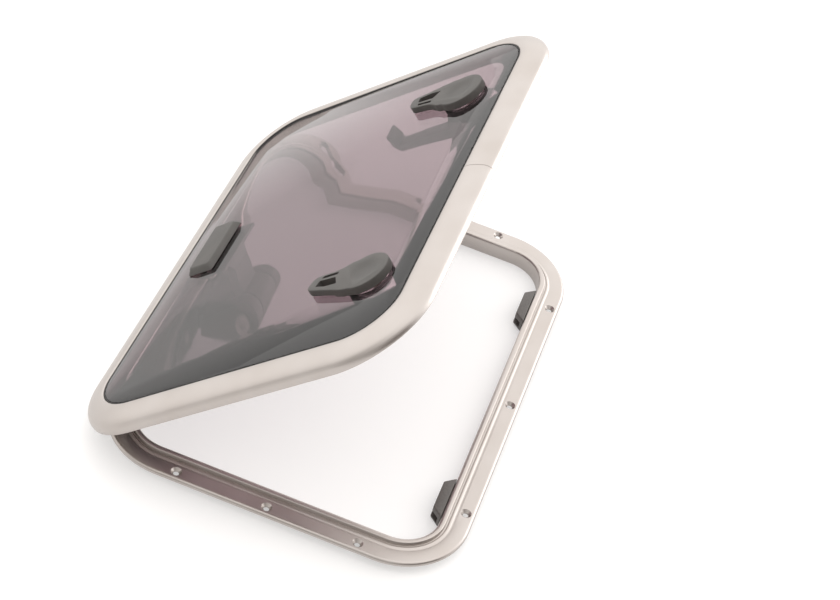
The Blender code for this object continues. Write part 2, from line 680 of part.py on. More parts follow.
def make_inner_lever(word, side, axis):
    """Boss on the spindle and a long blade-like handle that ends in an upturned finger hook."""
    lever = cylinder(f"inner_lever_{word}", BOSS_RADIUS, BOSS_LOW, BOSS_TOP, parts, steps=32)
    handle = side_plate(f"inner_lever_handle_{word}", [
        (-0.0080, -0.0170),
        (-0.0080, -0.0243),
        (-0.0135, -0.0243),
        (-0.0180, -0.0400),
        (-0.0240, -0.0425),
        (-0.0940, -0.0425),
        (-0.1040, -0.0300),
        (-0.1035, -0.0265),
        (-0.1000, -0.0262),
        (-0.0950, -0.0360),
        (-0.0300, -0.0320),
        (-0.0230, -0.0180),
    ], -HANDLE_HALF, HANDLE_HALF, cutters)
    join(lever, as_tool(handle, axis))
    soften(lever, 0.0012, 2)
    bore = cylinder(f"inner_lever_bore_{word}", SPINDLE_RADIUS + GAP, -0.050, 0.0, cutters)
    cut(lever, as_tool(bore, axis))
    finish_part(lever, "grey_plastic", axis)


def make_blade(word, side, axis):
    """Latch blade that turns into the keeper, held up on the spindle by one screw."""
    blade = cylinder(f"latch_blade_{word}", 0.0110, BLADE_LOW, BLADE_TOP, parts)
    reach = box(f"latch_blade_reach_{word}", (-0.0058, 0.0, BLADE_LOW), (0.0058, BLADE_REACH, BLADE_TOP), cutters)
    reach.data.transform(Matrix.Rotation(math.radians(0.0 if side < 0 else 180.0), 4, "Z"))
    hole = cylinder(f"latch_blade_hole_{word}", 0.0040, -0.050, 0.0, cutters, steps=16)
    join(blade, as_tool(reach, axis))
    cut(blade, as_tool(hole, axis))
    finish_part(blade, "stainless", axis)
    screw = cylinder(f"latch_screw_{word}", 0.0066, -0.0318, -0.0287, parts)
    shank = cylinder(f"latch_screw_shank_{word}", 0.0036, -0.0290, -0.0120, cutters, steps=16)
    socket = cylinder(f"latch_screw_socket_{word}", 0.0028, -0.0340, -0.0302, cutters, steps=6)
    join(screw, as_tool(shank, axis))
    cut(screw, as_tool(socket, axis))
    finish_part(screw, "stainless", axis)


# ---- assembly -----------------------------------------------------------------------------------
clear_scene()
parts = new_collection("deck_hatch")
cutters = new_collection("deck_hatch_cutters")
finishes = {name: make_finish(name) for name in FINISHES}

# The lid bracket's pivot as seen from the lid: the open lid is turned back to flat.
PIVOT_ON_LID = Matrix.Rotation(LID_OPEN, 3, "Y") @ (LID_PIVOT - LID_CENTRE)
LID_DATUM = tuple(-PIVOT_ON_LID)

hatch = new_empty("hatch", None, WORLD_SHIFT)
arm_axis = new_empty("arm_axis", hatch, ARM_PIVOT, (0.0, -HINGE_ANGLE, 0.0))
lid_axis = new_empty("lid_axis", hatch, LID_PIVOT, (0.0, -LID_OPEN, 0.0))

base_frame = make_base_frame()
make_keeper("keeper_near", -1, base_frame)
make_keeper("keeper_far", 1, base_frame)
make_base_bracket(base_frame)
make_arm()
lid_bracket = make_lid_bracket()
glazing = make_glazing()
make_hinge_cap(glazing, lid_bracket)
make_lid_frame()
make_lid_seals()
make_latch("near", -1, glazing)
make_latch("far", 1, glazing)
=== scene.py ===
# %% [markdown]
# # A deck hatch, standing open
# This lesson dresses a working model of a boat's deck hatch. The working model (plain solids with real
# hinges) is loaded first and never changed. Around it we model the pieces again with the edges, curves and
# surfaces that the real ones have, give every piece its finish, and set up a floor, a lamp and a camera.

# %% Load the working model
import json
import math

import bpy
from mathutils import Matrix, Vector


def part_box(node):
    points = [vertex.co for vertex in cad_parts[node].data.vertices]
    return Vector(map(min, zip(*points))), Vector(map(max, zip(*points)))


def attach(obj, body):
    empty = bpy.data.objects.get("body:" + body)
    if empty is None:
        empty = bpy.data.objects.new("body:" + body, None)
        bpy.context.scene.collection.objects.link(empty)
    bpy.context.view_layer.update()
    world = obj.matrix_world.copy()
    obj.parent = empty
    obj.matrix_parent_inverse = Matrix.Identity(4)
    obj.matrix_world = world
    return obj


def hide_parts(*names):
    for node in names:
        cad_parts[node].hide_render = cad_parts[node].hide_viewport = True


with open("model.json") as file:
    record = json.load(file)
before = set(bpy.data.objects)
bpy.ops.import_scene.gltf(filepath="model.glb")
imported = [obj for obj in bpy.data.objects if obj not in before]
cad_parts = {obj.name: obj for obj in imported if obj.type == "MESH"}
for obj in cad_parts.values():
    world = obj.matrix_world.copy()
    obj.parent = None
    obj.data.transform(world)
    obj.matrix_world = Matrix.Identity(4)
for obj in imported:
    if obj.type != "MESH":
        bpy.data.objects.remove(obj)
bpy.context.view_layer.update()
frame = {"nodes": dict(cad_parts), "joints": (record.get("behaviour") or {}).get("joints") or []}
nodes = frame["nodes"]
joints = {joint["name"]: joint for joint in frame["joints"]}

# %% [markdown]
# ## Where things are
# Positions come from the working model, so that a new piece lands exactly on the solid that it stands for.
# The base frame lies flat. The lid leans back by the angle between its latch axis and the vertical, and the
# hinge arm lies along the line between its two pivots. The base, the lid and the latches each get a *place*:
# a matrix that carries a piece from the bench, where it is modelled lying flat round the zero point, to where
# it belongs.

# %% Sizes shared by several pieces
GLASS_THICK = 0.0100
SPIGOT_DEPTH = 0.0132          # from the deck flange's top down to the bottom of the inner wall
FLANGE_WIDTH = 0.0276
GAP = 0.0003                   # between pieces that touch
FAR_LATCH_SPLAY = math.radians(9.0)

# %% Places on the base, the lid and the latches
base_low, base_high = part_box("base_frame")
base_top = base_low.z + SPIGOT_DEPTH
clear_x = (base_high.x - base_low.x) / 2 - FLANGE_WIDTH
clear_y = (base_high.y - base_low.y) / 2 - FLANGE_WIDTH
base_place = Matrix.Translation(((base_low.x + base_high.x) / 2, 0.0, base_top))

latch_axis = Vector(joints["latch_far_turn"]["axis"])
lid_angle = math.atan2(-latch_axis.x, latch_axis.z)
lid_turn = Matrix.Rotation(-lid_angle, 4, "Y")
glass_low, glass_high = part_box("glazing_panel")
glass_y = (glass_high.y - glass_low.y) / 2
glass_x = (glass_high.x - glass_low.x - GLASS_THICK * math.sin(lid_angle)) / (2 * math.cos(lid_angle))
lid_centre = (glass_low + glass_high) / 2 + latch_axis * GLASS_THICK / 2
lid_place = Matrix.Translation(lid_centre) @ lid_turn

latch_places = {
    "near": Matrix.Translation(joints["latch_near_turn"]["pos_m"]) @ lid_turn,
    "far": Matrix.Translation(joints["latch_far_turn"]["pos_m"]) @ lid_turn
    @ Matrix.Rotation(-FAR_LATCH_SPLAY, 4, "Z"),
}
print("clear opening", round(clear_x * 2000), "x", round(clear_y * 2000), "mm, lid leans",
      round(math.degrees(lid_angle), 1), "degrees")

# %% [markdown]
# ## Camera
# A long lens from well above, turned a little about its own axis so that the hatch seems to float at a tilt.
# The camera is placed by three angles and a distance, which is easier to think about than a position.

# %% Camera
VIEW_AZIMUTH = math.radians(6.32)
VIEW_HEIGHT = math.radians(42.59)
VIEW_ROLL = math.radians(16.65)
VIEW_DISTANCE = 1.981
VIEW_LENS = 86.6
AIM = Vector((0.0413, 0.0917, 0.0))        # from the middle of the opening

away = Vector((
    math.sin(VIEW_AZIMUTH) * math.cos(VIEW_HEIGHT),
    -math.cos(VIEW_AZIMUTH) * math.cos(VIEW_HEIGHT),
    math.sin(VIEW_HEIGHT),
))
bpy.ops.object.camera_add()
camera = bpy.context.active_object
camera.name = "studio_camera"
camera.data.lens = VIEW_LENS
upright = (-away).to_track_quat("-Z", "Y").to_matrix().to_4x4()
camera.matrix_world = (
    Matrix.Translation(base_place @ AIM + away * VIEW_DISTANCE) @ upright @ Matrix.Rotation(VIEW_ROLL, 4, "Z")
)
bpy.context.scene.camera = camera
print("camera at", [round(x, 3) for x in camera.location])

# %% [markdown]
# ## Colours and nodes
# A colour is written as a hex value, which is stored for screens. The shader works in linear
# light, so one function turns the first into the second. A second function adds a node, with its settings and
# its links, so that each finish below reads as a short list.

# %% Colour and node helpers
def linear(hex_colour):
    """A screen colour such as #DAD4D0 as the four linear numbers that a shader takes."""
    shares = [int(hex_colour[place:place + 2], 16) / 255 for place in (1, 3, 5)]
    return tuple(s / 12.92 if s <= 0.04045 else ((s + 0.055) / 1.055) ** 2.4 for s in shares) + (1.0,)


def add_node(tree, kind, values=None, links=None, **settings):
    """Adds a node: settings are its own choices, values fill its inputs, and links join inputs to outputs."""
    node = tree.nodes.new(kind)
    for name, value in settings.items():
        setattr(node, name, value)
    for name, value in (values or {}).items():
        node.inputs[name].default_value = value
    for name, (source, output) in (links or {}).items():
        tree.links.new(source.outputs[output], node.inputs[name])
    return node


def new_finish(name, values):
    """A material with its Principled shader set, and a node that gives the piece's own coordinates."""
    finish = bpy.data.materials.new(name)
    finish.use_nodes = True
    shader = finish.node_tree.nodes["Principled BSDF"]
    for socket, value in values.items():
        shader.inputs[socket].default_value = value
    return finish, finish.node_tree, shader, add_node(finish.node_tree, "ShaderNodeTexCoord")


def grain(tree, coordinates, size, detail=2.0):
    """Noise whose lumps are about that many metres across."""
    return add_node(tree, "ShaderNodeTexNoise", {"Scale": 1 / size, "Detail": detail},
                    {"Vector": (coordinates, "Object")})


def vary(tree, source, low, high):
    """The noise's middle part, spread over low to high."""
    return add_node(
        tree, "ShaderNodeMapRange",
        {"From Min": 0.3, "From Max": 0.7, "To Min": low, "To Max": high},
        {"Value": (source, "Fac")})


def roughen(tree, shader, source, depth, strength):
    """Raises the surface by up to depth metres where the noise is bright."""
    bump = add_node(tree, "ShaderNodeBump", {"Distance": depth, "Strength": strength},
                    {"Height": (source, "Fac")})
    tree.links.new(bump.outputs["Normal"], shader.inputs["Normal"])


def tint(tree, shader, source, dark, bright):
    """Lets the base colour wander between two close colours."""
    mix = add_node(tree, "ShaderNodeMix", {6: linear(dark), 7: linear(bright)},
                   {0: (vary(tree, source, 0.0, 1.0), "Result")}, data_type="RGBA")
    tree.links.new(mix.outputs[2], shader.inputs["Base Color"])


# %% [markdown]
# ## Finish: satin anodised aluminium
# Both frames are extruded aluminium, bent to shape, blasted with fine beads and anodised. The blasting breaks
# up reflections, so the metal shows soft bright bands and no sharp mirror images. The dimples are only about
# a tenth of a millimetre across. They are drawn at 0.9 mm here, the smallest that still shows in the picture.

# %% Satin anodised aluminium
satin_anodised, tree, shader, own = new_finish("satin_anodised_aluminium", {
    "Metallic": 1.0, "Roughness": 0.34,
})
blasting = grain(tree, own, 0.0009, 3.0)
clouding = grain(tree, own, 0.045)
tint(tree, shader, clouding, "#B2ABA6", "#BAB4B0")
tree.links.new(vary(tree, clouding, 0.31, 0.38).outputs["Result"], shader.inputs["Roughness"])
roughen(tree, shader, blasting, 0.00004, 0.10)
print("made", satin_anodised.name)

# %% [markdown]
# ## Finish: smoke-tinted cast acrylic
# The pane is 10 mm acrylic with a dark violet-brown tint. It is real refracting glass in the shader, because
# a slab this thick shifts what is seen through it by several millimetres. Light on its way to a lamp would
# find the glass opaque, so for shadow rays alone the glass is swapped for plain see-through tint.

# %% Smoke-tinted acrylic
SMOKE = "#89757B"
smoked_acrylic, tree, shader, own = new_finish("smoke_tinted_cast_acrylic", {
    "Base Color": linear(SMOKE), "Roughness": 0.02, "IOR": 1.49, "Transmission Weight": 1.0,
})
wear = grain(tree, own, 0.030, 4.0)
tree.links.new(vary(tree, wear, 0.015, 0.045).outputs["Result"], shader.inputs["Roughness"])
shadow_tint = tuple(math.sqrt(share) for share in linear(SMOKE))
see_through = add_node(tree, "ShaderNodeBsdfTransparent", {"Color": shadow_tint})
ray = add_node(tree, "ShaderNodeLightPath")
swap = add_node(tree, "ShaderNodeMixShader", links={"Fac": (ray, "Is Shadow Ray")})
tree.links.new(shader.outputs["BSDF"], swap.inputs[1])
tree.links.new(see_through.outputs["BSDF"], swap.inputs[2])
tree.links.new(swap.outputs["Shader"], tree.nodes["Material Output"].inputs["Surface"])
print("made", smoked_acrylic.name)

# %% [markdown]
# ## Finish: extruded black rubber
# Seals and gaskets are EPDM rubber, matt and nearly black with a faint dusty bloom.

# %% Black rubber
sealing_rubber, tree, shader, own = new_finish("extruded_black_rubber", {"Roughness": 0.62, "IOR": 1.52})
bloom = grain(tree, own, 0.0016, 4.0)
tint(tree, shader, bloom, "#171514", "#262322")
roughen(tree, shader, bloom, 0.00010, 0.35)
print("made", sealing_rubber.name)

# %% [markdown]
# ## Finish: moulded plastics
# Levers and the hinge cap are glass-filled nylon with a spark-eroded mould texture: dark grey, matt, with a
# fine even grain. Bushes and escutcheons are the same plastic in black, with a smoother face.

# %% Grey and black moulded plastic
moulded_grey, tree, shader, own = new_finish("moulded_grey_nylon", {"Roughness": 0.52, "IOR": 1.53})
spark_grain = grain(tree, own, 0.0007, 3.0)
flow = grain(tree, own, 0.020)
tint(tree, shader, flow, "#454340", "#4D4A47")
tree.links.new(vary(tree, spark_grain, 0.47, 0.60).outputs["Result"], shader.inputs["Roughness"])
roughen(tree, shader, spark_grain, 0.00008, 0.30)

moulded_black, tree, shader, own = new_finish("moulded_black_nylon", {"Roughness": 0.42, "IOR": 1.53})
spark_grain = grain(tree, own, 0.0008, 3.0)
tint(tree, shader, spark_grain, "#0F0E0E", "#191817")
roughen(tree, shader, spark_grain, 0.00005, 0.25)
print("made", moulded_grey.name, "and", moulded_black.name)

# %% [markdown]
# ## Finish: enamelled castings
# The hinge and the keepers are zinc castings under a baked grey coat. Baked powder flows into low, wide
# ripples known as orange peel, here about 2 mm apart.

# %% Grey enamel
cast_enamel, tree, shader, own = new_finish("baked_grey_enamel", {"Roughness": 0.38, "IOR": 1.50})
peel = grain(tree, own, 0.0020)
tint(tree, shader, peel, "#524E4B", "#5D5956")
roughen(tree, shader, peel, 0.00012, 0.30)
print("made", cast_enamel.name)

# %% [markdown]
# ## Finish: stainless steel and acetal
# Screws, pins and blades are stainless steel, turned and tumbled to a dull shine. The friction washers are
# white acetal, a waxy bearing plastic.

# %% Stainless steel and acetal
tumbled_stainless, tree, shader, own = new_finish("tumbled_stainless_steel", {
    "Metallic": 1.0, "Roughness": 0.26,
})
tumbling = grain(tree, own, 0.0010, 4.0)
tint(tree, shader, tumbling, "#B4B1AC", "#C6C4C0")
tree.links.new(vary(tree, tumbling, 0.20, 0.34).outputs["Result"], shader.inputs["Roughness"])
roughen(tree, shader, tumbling, 0.00004, 0.25)

bearing_acetal, tree, shader, own = new_finish("white_acetal", {"Roughness": 0.36, "IOR": 1.48})
faces = grain(tree, own, 0.0040)
tint(tree, shader, faces, "#DAD7CE", "#E6E3DB")
roughen(tree, shader, faces, 0.00004, 0.20)
print("made", tumbled_stainless.name, "and", bearing_acetal.name)

# %% [markdown]
# ## A short modelling kit
# Everything is modelled on the bench with Blender's own edit mode tools. An operator works on whatever is
# selected, so each helper first makes sure that exactly the right thing is.

# %% Selecting
def only(piece):
    """Selects this piece and nothing else."""
    bpy.ops.object.select_all(action="DESELECT")
    piece.select_set(True)
    bpy.context.view_layer.objects.active = piece
    return piece


def edit(piece, vertices=None, edges=None, faces=None):
    """Opens edit mode with only what passes the test selected: vertices by place, edges by both ends,
    faces by middle and normal. With no test, everything is selected."""
    only(piece)
    mesh = piece.data
    everything = vertices is None and edges is None and faces is None
    bpy.context.tool_settings.mesh_select_mode = (
        vertices is not None or everything, edges is not None, faces is not None)
    for part in (mesh.vertices, mesh.edges, mesh.polygons):
        part.foreach_set("select", [everything] * len(part))
    for vertex in mesh.vertices if vertices else ():
        vertex.select = vertices(vertex.co)
    for edge in mesh.edges if edges else ():
        edge.select = edges(*(mesh.vertices[number].co for number in edge.vertices))
    for face in mesh.polygons if faces else ():
        face.select = faces(face.center, face.normal)
    bpy.ops.object.mode_set(mode="EDIT")


def edit_numbered(piece, numbers):
    """Opens edit mode with only the vertices of those numbers selected."""
    only(piece)
    mesh = piece.data
    bpy.context.tool_settings.mesh_select_mode = (True, False, False)
    for part in (mesh.vertices, mesh.edges, mesh.polygons):
        part.foreach_set("select", [False] * len(part))
    for number in numbers:
        mesh.vertices[number].select = True
    bpy.ops.object.mode_set(mode="EDIT")


def done():
    """Goes back to object mode."""
    bpy.ops.object.mode_set(mode="OBJECT")


# %% Shaping
def face_out(piece):
    """Turns every face outwards."""
    edit(piece)
    bpy.ops.mesh.remove_doubles(threshold=0.000001)
    bpy.ops.mesh.normals_make_consistent(inside=False)
    done()
    return piece


def round_edges(piece, width, segments=3, sharper_than=30.0, where=None):
    """Rounds the edges that turn by more than an angle, or those that pass a test."""
    if where is None:
        edit(piece)
        bpy.ops.mesh.select_mode(type="EDGE")
        bpy.ops.mesh.select_all(action="DESELECT")
        bpy.ops.mesh.edges_select_sharp(sharpness=math.radians(sharper_than))
    else:
        edit(piece, edges=where)
    bpy.ops.mesh.bevel(offset=width, segments=segments, affect="EDGES", profile=0.5)
    done()
    return piece


def combine(piece, tool, operation="DIFFERENCE"):
    """Cuts a tool out of a piece, or unites the two, and throws the tool away."""
    only(piece)
    modifier = piece.modifiers.new("combine", "BOOLEAN")
    modifier.operation = operation
    modifier.object = tool
    bpy.ops.object.modifier_apply(modifier="combine")
    bpy.data.objects.remove(tool)
    return piece


def join_pieces(first, *others):
    """Makes one object of several. The first one's vertices stay first."""
    only(first)
    for other in others:
        other.select_set(True)
    bpy.ops.object.join()
    return first


def copy_of(piece, place):
    """A copy with its own mesh, moved by a place."""
    only(piece)
    bpy.ops.object.duplicate()
    twin = bpy.context.active_object
    return put(twin, place)


def put(piece, place):
    """Carries a piece from the bench to its place and applies it, so that its origin stays at zero."""
    only(piece)
    piece.matrix_world = place @ piece.matrix_world
    bpy.ops.object.transform_apply(location=True, rotation=True, scale=True)
    return piece


# %% Round pieces
def turned(radius, low, high, steps=64, top_radius=None):
    """A cylinder or cone along Z between two heights."""
    bpy.ops.object.select_all(action="DESELECT")
    bpy.ops.mesh.primitive_cone_add(
        vertices=steps, radius1=radius, radius2=radius if top_radius is None else top_radius,
        depth=high - low, location=(0.0, 0.0, (low + high) / 2))
    return put(bpy.context.active_object, Matrix.Identity(4))


# %% Handing a piece over
def hand_over(piece, name, finish, slot, body, *stands_for, smooth=35.0):
    """Names a finished piece, gives it its finish, and lets it ride on its body for the plain solids."""
    only(piece)
    bpy.ops.object.shade_smooth_by_angle(angle=math.radians(smooth))
    piece.name = piece.data.name = name
    piece.data.materials.clear()
    piece.data.materials.append(finish)
    if stands_for:
        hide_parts(*stands_for)
    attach(piece, body)
    print(f"{name}: {len(piece.data.polygons)} faces on {body}")
    return piece


# %% [markdown]
# ## Frames as a loft of loops
# A frame is one section carried round a rectangle with round corners. Its corner radius grows faster than
# its width does, so a plain sweep wouldn't match. Instead every corner of the section becomes a loop of its
# own: a plane with its four corners bevelled round. Neighbouring loops are bridged, and the last one is
# bridged to the first, which closes the ring. Two loops in one plane can be bridged the wrong way round, so
# the loops are first stacked like a tower, a centimetre apart, and each one sinks to its own height later.

# %% Loops, rings and section curves
CORNER_STEPS = 16
STACK_STEP = 0.01


def rounded_loop(half_x, half_y, radius, height, filled=False):
    """A flat rectangle with round corners, as an outline or filled."""
    bpy.ops.object.select_all(action="DESELECT")
    bpy.ops.mesh.primitive_plane_add(size=1.0, location=(0.0, 0.0, height))
    loop = bpy.context.active_object
    loop.scale = (2 * half_x, 2 * half_y, 1.0)
    bpy.ops.object.transform_apply(location=True, rotation=False, scale=True)
    edit(loop)
    bpy.ops.mesh.bevel(offset=radius, segments=CORNER_STEPS, affect="VERTICES", profile=0.5)
    if not filled:
        bpy.ops.mesh.delete(type="ONLY_FACE")
    done()
    return loop


def ring(sections):
    """Lofts the loops in order and closes the last one onto the first."""
    made = rounded_loop(*sections[0][:3], 0.0)
    count = len(made.data.vertices)
    starts = [number * count for number in range(len(sections))]
    for number, section in enumerate(sections[1:], start=1):
        join_pieces(made, rounded_loop(*section[:3], number * STACK_STEP))
    for here, there in zip(starts, starts[1:] + starts[:1]):
        edit_numbered(made, [*range(here, here + count), *range(there, there + count)])
        bpy.ops.mesh.bridge_edge_loops()
        done()
    for number, (start, section) in enumerate(zip(starts, sections)):
        edit_numbered(made, range(start, start + count))
        bpy.ops.transform.translate(value=(0.0, 0.0, section[3] - number * STACK_STEP))
        done()
    return face_out(made)


def arc(middle, radius, start, end, steps):
    """Points round part of a circle, angles in degrees."""
    angles = [math.radians(start + (end - start) * step / steps) for step in range(steps + 1)]
    return [(middle[0] + radius * math.cos(a), middle[1] + radius * math.sin(a)) for a in angles]


def smooth_run(points, steps):
    """A smooth curve through the points, with that many steps between each two (Catmull-Rom)."""
    ends = [points[0]] + list(points) + [points[-1]]
    run = []
    for before, start, end, after in zip(ends, ends[1:], ends[2:], ends[3:]):
        for step in range(steps):
            t = step / steps
            run.append(tuple(
                0.5 * (2 * s + (e - b) * t
                       + (2 * b - 5 * s + 4 * e - a) * t ** 2
                       + (3 * s - b - 3 * e + a) * t ** 3)
                for b, s, e, a in zip(before, start, end, after)))
    return run + [points[-1]]


# %% [markdown]
# ## Base frame
# The base frame lies on the deck. From the outside in, its section has a rounded lip, a flat band for the
# screws, a shallow cove, a thin raised rib, a drain gutter, the upstand that the lid closes on, and the inner
# wall that goes down through the deck. Underneath, a shallow groove for sealant runs round that wall.

# %% The base frame's section
CLEAR_RADIUS = 0.0360
FLANGE_RADIUS = 0.0688
FLANGE_THICK = 0.0038
LIP_RADIUS = 0.0034


def base_loop(out, height):
    """The loop at a distance outside the inner wall."""
    radius = CLEAR_RADIUS + out * (FLANGE_RADIUS - CLEAR_RADIUS) / FLANGE_WIDTH
    return clear_x + out, clear_y + out, radius, height


base_section = [
    (0.0000, -SPIGOT_DEPTH),
    (0.0000, -0.0040),
    *arc((0.0026, 0.0010), 0.0026, 180.0, 90.0, 5),
    *arc((0.0048, 0.0026), 0.0010, 90.0, 10.0, 4),
    (0.0063, -0.0004),
    (0.0078, -0.0004),
    (0.0083, 0.0004),
    (0.0091, 0.0004),
    *smooth_run([(0.0104, 0.0001), (0.0114, -0.0003), (0.0134, 0.0000)], 2),
    *arc((FLANGE_WIDTH - LIP_RADIUS, -LIP_RADIUS), LIP_RADIUS, 90.0, 0.0, 6),
    (FLANGE_WIDTH, -FLANGE_THICK),
    (0.0046, -FLANGE_THICK),
    (0.0046, 0.0008 - FLANGE_THICK),
    (0.0026, 0.0008 - FLANGE_THICK),
    (0.0026, -SPIGOT_DEPTH),
]
base_frame = ring([base_loop(out, height) for out, height in base_section])
round_edges(base_frame, 0.00025, 2, sharper_than=40.0)
print("base frame section has", len(base_section), "loops")

# %% [markdown]
# Twelve countersunk holes take the deck screws. One drill, a straight shank under a cone, is modelled once,
# copied to all twelve places and joined, and cut out in a single step.

# %% Deck screw holes
SCREW_LINE = 0.0188            # outside the inner wall
SCREW_PITCH_X = 0.0850
SCREW_PITCH_Y = 0.1476
HOLE_RADIUS = 0.0027
SINK_RADIUS = 0.0050
SINK_DEPTH = SINK_RADIUS - HOLE_RADIUS

drill = turned(HOLE_RADIUS, -0.0080, 0.0010, 32)
countersink = turned(HOLE_RADIUS - 0.0004, -SINK_DEPTH - 0.0004, 0.0005, 32, top_radius=SINK_RADIUS + 0.0005)
combine(drill, countersink, "UNION")
screw_places = []
for side in (-1, 1):
    for step in (-1, 0, 1):
        screw_places.append((step * SCREW_PITCH_X, side * (clear_y + SCREW_LINE)))
        screw_places.append((side * (clear_x + SCREW_LINE), step * SCREW_PITCH_Y))
drills = [copy_of(drill, Matrix.Translation((x, y, 0.0))) for x, y in screw_places]
bpy.data.objects.remove(drill)
combine(base_frame, join_pieces(*drills))
print(len(screw_places), "deck screw holes")

# %% Put the base frame in place
put(base_frame, base_place)
hand_over(base_frame, "deck_base_extrusion", satin_anodised, "anodised_alloy", "base", "base_frame")

# %% [markdown]
# ## Plates with a drawn outline
# Keepers, levers and windows are flat plates. Their outline is drawn as one would draw it by hand: a plane is
# merged to a single point, the point is extruded from corner to corner, the loop is closed and filled, its
# corners are rounded, and the face is extruded to its thickness.

# %% Outline plate
def outline_plate(points, low, high, corner=0.0, corner_steps=4):
    """A plate between two heights whose outline runs through the points."""
    bpy.ops.object.select_all(action="DESELECT")
    bpy.ops.mesh.primitive_plane_add(size=0.001, location=(*points[0], low))
    made = put(bpy.context.active_object, Matrix.Identity(4))
    edit(made)
    bpy.ops.mesh.merge(type="CENTER")
    for here, there in zip(points, points[1:]):
        step = (there[0] - here[0], there[1] - here[1], 0.0)
        bpy.ops.mesh.extrude_region_move(TRANSFORM_OT_translate={"value": step})
    done()
    edit_numbered(made, (0, len(points) - 1))
    bpy.ops.mesh.edge_face_add()
    bpy.ops.mesh.select_all(action="SELECT")
    bpy.ops.mesh.edge_face_add()
    if corner:
        bpy.ops.mesh.bevel(offset=corner, segments=corner_steps, affect="VERTICES", profile=0.5)
    bpy.ops.mesh.select_all(action="SELECT")
    bpy.ops.mesh.extrude_region_move(TRANSFORM_OT_translate={"value": (0.0, 0.0, high - low)})
    done()
    return face_out(made)


def block(low, high):
    """A box between two corners."""
    bpy.ops.object.select_all(action="DESELECT")
    bpy.ops.mesh.primitive_cube_add(size=1.0, location=[(a + b) / 2 for a, b in zip(low, high)])
    made = bpy.context.active_object
    made.scale = [b - a for a, b in zip(low, high)]
    return put(made, Matrix.Identity(4))


# %% [markdown]
# ## Keepers
# Two castings on the inner wall catch the latch blades. Each starts as a cube. Its free face is drawn in
# lengthways, which makes a wedge in plan, and a slot is cut along it under the lip.

# %% Keepers
KEEPER_LONG = 0.0255           # half lengths at the wall and at the free face
KEEPER_SHORT = 0.0165
KEEPER_DEEP = 0.0100
KEEPER_LOW = -0.0126
KEEPER_TOP = 0.0022
SLOT_LOW = -0.0100
SLOT_TOP = -0.0036
SLOT_WEB = 0.0030              # left between the slot and the wall
SLOT_PAST = 0.0095             # how far the slot's cutter runs on past the ends
KEEPER_BORE = 0.0019
KEEPER_SCREW_Y = 0.0120
wall = clear_x - GAP
latch_y = abs(joints["latch_near_turn"]["pos_m"][1])
for word, side in (("near", -1), ("far", 1)):
    middle = side * (latch_y + 0.0005)
    keeper = block((wall - KEEPER_DEEP, middle - KEEPER_LONG, KEEPER_LOW),
                   (wall, middle + KEEPER_LONG, KEEPER_TOP))
    edit(keeper, faces=lambda spot, normal: normal.x < -0.9)
    bpy.ops.transform.resize(value=(1.0, KEEPER_SHORT / KEEPER_LONG, 1.0))
    done()
    round_edges(keeper, 0.0012, 4, sharper_than=25.0)
    combine(keeper, block((wall - KEEPER_DEEP - 0.0040, middle - KEEPER_LONG - SLOT_PAST, SLOT_LOW),
                          (wall - SLOT_WEB, middle + KEEPER_LONG + SLOT_PAST, SLOT_TOP)))
    for offset in (-KEEPER_SCREW_Y, KEEPER_SCREW_Y):
        bore = turned(KEEPER_BORE, -0.0060, 0.0060, 24)
        across = (Matrix.Translation((wall, middle + offset, (SLOT_LOW + SLOT_TOP) / 2))
                  @ Matrix.Rotation(math.pi / 2, 4, "Y"))
        combine(keeper, put(bore, across))
    put(keeper, base_place)
    hand_over(keeper, f"keeper_casting_{word}", cast_enamel, "grey_enamel", "base", f"keeper_{word}")

# %% [markdown]
# ## Lid frame
# The lid's extrusion rises a little beside the pane, falls away in one soft curve, and turns down into a
# short skirt. Underneath it is hollow, and a ledge reaches in below the pane.

# %% The lid frame's section
GLASS_RADIUS = 0.0456
LEDGE_X = 0.0168
LEDGE_Y = 0.0255
LEDGE_LOW = -GLASS_THICK - 0.0026
LEDGE_TOP = -GLASS_THICK - GAP


def lid_loop(out, height, extra_y=0.0):
    """The loop at a distance outside the pane's edge."""
    return glass_x + out, glass_y + out * 1.03 + extra_y, max(GLASS_RADIUS + out * 1.13, 0.0200), height


crown = smooth_run([
    (0.0036, 0.0005), (0.0080, 0.0002), (0.0135, -0.0012), (0.0190, -0.0034), (0.0232, -0.0062),
    (0.0253, -0.0095),
], 3)
lid_section = [(0.0020, 0.0000), (0.0026, 0.0004), *crown, (0.0257, -0.0120), (0.0257, -0.0146)]
hollow = [(0.0236, -0.0146), (0.0230, -0.0104), (0.0180, -0.0064), (0.0110, -0.0040), (0.0050, -0.0036),
          (0.0044, LEDGE_LOW)]
ledge_extra = LEDGE_X * 1.03 - LEDGE_Y
lid_frame = ring(
    [lid_loop(out, height) for out, height in lid_section + hollow]
    + [lid_loop(-LEDGE_X, LEDGE_LOW, ledge_extra), lid_loop(-LEDGE_X, LEDGE_TOP, ledge_extra),
       lid_loop(0.0020, LEDGE_TOP)])
round_edges(lid_frame, 0.0003, 2, sharper_than=40.0)
print("lid frame section has", len(lid_section) + len(hollow) + 3, "loops")

# %% [markdown]
# The extrusion is one length, bent round and joined where its ends meet, on the latch side. The joint shows
# as a hairline. Two bisections half a millimetre apart mark it, and the strip between them is pushed in.

